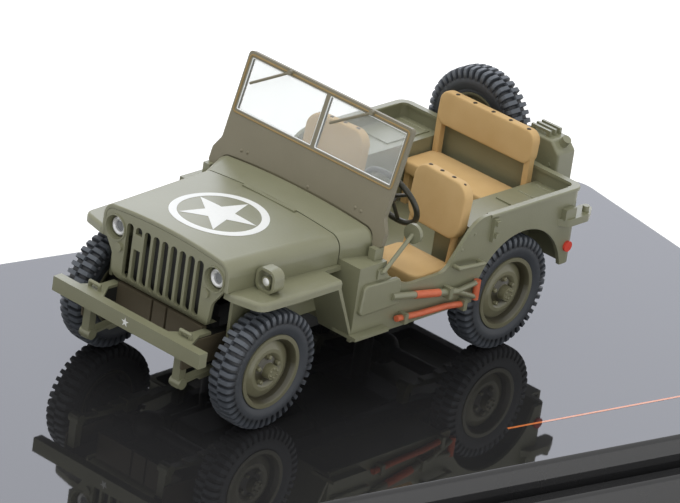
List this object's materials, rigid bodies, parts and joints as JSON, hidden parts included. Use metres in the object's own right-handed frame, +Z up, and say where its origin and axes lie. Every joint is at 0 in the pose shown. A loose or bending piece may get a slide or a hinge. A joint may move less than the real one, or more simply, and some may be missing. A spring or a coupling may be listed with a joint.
{
  "type": "army 4x4 car model",
  "caption": "Small die-cast model of an open army 4x4 car with an upright windscreen, spare wheel and fuel can, standing on a glossy stepped display plinth.",
  "frame": {"origin": "centre of the plinth's underside", "axes": "+X to the car's left, +Y to the car's rear, +Z up; the plinth is turned 12.4 degrees under the car"},
  "size_m": [0.1112, 0.162, 0.0507],
  "materials": {
    "olive_paint": "satin",
    "black_chassis": "satin",
    "tan_seat": "matte",
    "tyre": "matte",
    "orange_handle": "satin",
    "red_reflector": "gloss",
    "plinth_black": "gloss",
    "screw_steel": "satin",
    "lamp_chrome": "polished",
    "clear_glass": "gloss"
  },
  "bodies": {
    "model": {"axe_handle": "orange_handle", "blackout_lamp": "olive_paint", "chassis_frame": "black_chassis", "cowl": "olive_paint", "drivetrain": "black_chassis", "exhaust": "black_chassis", "fender_left": "olive_paint", "fender_right": "olive_paint", "floor_pan": "olive_paint", "front_apron": "olive_paint", "front_axle": "black_chassis", "front_bumper": "olive_paint", "fuel_can": "olive_paint", "gear_levers": "olive_paint", "grille": "olive_paint", "headlamp_lenses": "clear_glass", "headlamps": "lamp_chrome", "hood": "olive_paint", "leaf_springs": "olive_paint", "mirror": "olive_paint", "panel_fittings": "olive_paint", "plinth": "plinth_black", "plinth_screws": "screw_steel", "radiator": "black_chassis", "rear_axle": "black_chassis", "rear_brackets": "olive_paint", "rear_bumperettes": "olive_paint", "rear_carriers": "olive_paint", "rear_panel": "olive_paint", "rear_seat": "tan_seat", "reflectors": "red_reflector", "seat_left": "tan_seat", "seat_right": "tan_seat", "shovel": "olive_paint", "shovel_grips": "orange_handle", "side_panel_left": "olive_paint", "side_panel_right": "olive_paint", "spare_rim": "olive_paint", "spare_tyre": "tyre", "steering_wheel": "black_chassis", "tool_clamps": "olive_paint", "wheel_houses": "olive_paint", "windscreen_frame": "olive_paint", "windscreen_glass": "clear_glass", "windscreen_hinges": "olive_paint", "wipers": "olive_paint"},
    "wheel_front_left": {"rim_front_left": "olive_paint", "tyre_front_left": "tyre"},
    "wheel_front_right": {"rim_front_right": "olive_paint", "tyre_front_right": "tyre"},
    "wheel_rear_left": {"rim_rear_left": "olive_paint", "tyre_rear_left": "tyre"},
    "wheel_rear_right": {"rim_rear_right": "olive_paint", "tyre_rear_right": "tyre"}
  },
  "joints": [
    {"name": "wheel_front_left_spin", "type": "hinge", "parent": "model", "child": "wheel_front_left", "pos_m": [0.0108, -0.02523, 0.02058], "axis": [1, 0, 0], "continuous": true},
    {"name": "wheel_front_right_spin", "type": "hinge", "parent": "model", "child": "wheel_front_right", "pos_m": [-0.0177, -0.02523, 0.02058], "axis": [1, 0, 0], "continuous": true},
    {"name": "wheel_rear_left_spin", "type": "hinge", "parent": "model", "child": "wheel_rear_left", "pos_m": [0.0108, 0.02203, 0.02058], "axis": [1, 0, 0], "continuous": true},
    {"name": "wheel_rear_right_spin", "type": "hinge", "parent": "model", "child": "wheel_rear_right", "pos_m": [-0.0177, 0.02203, 0.02058], "axis": [1, 0, 0], "continuous": true}
  ]
}
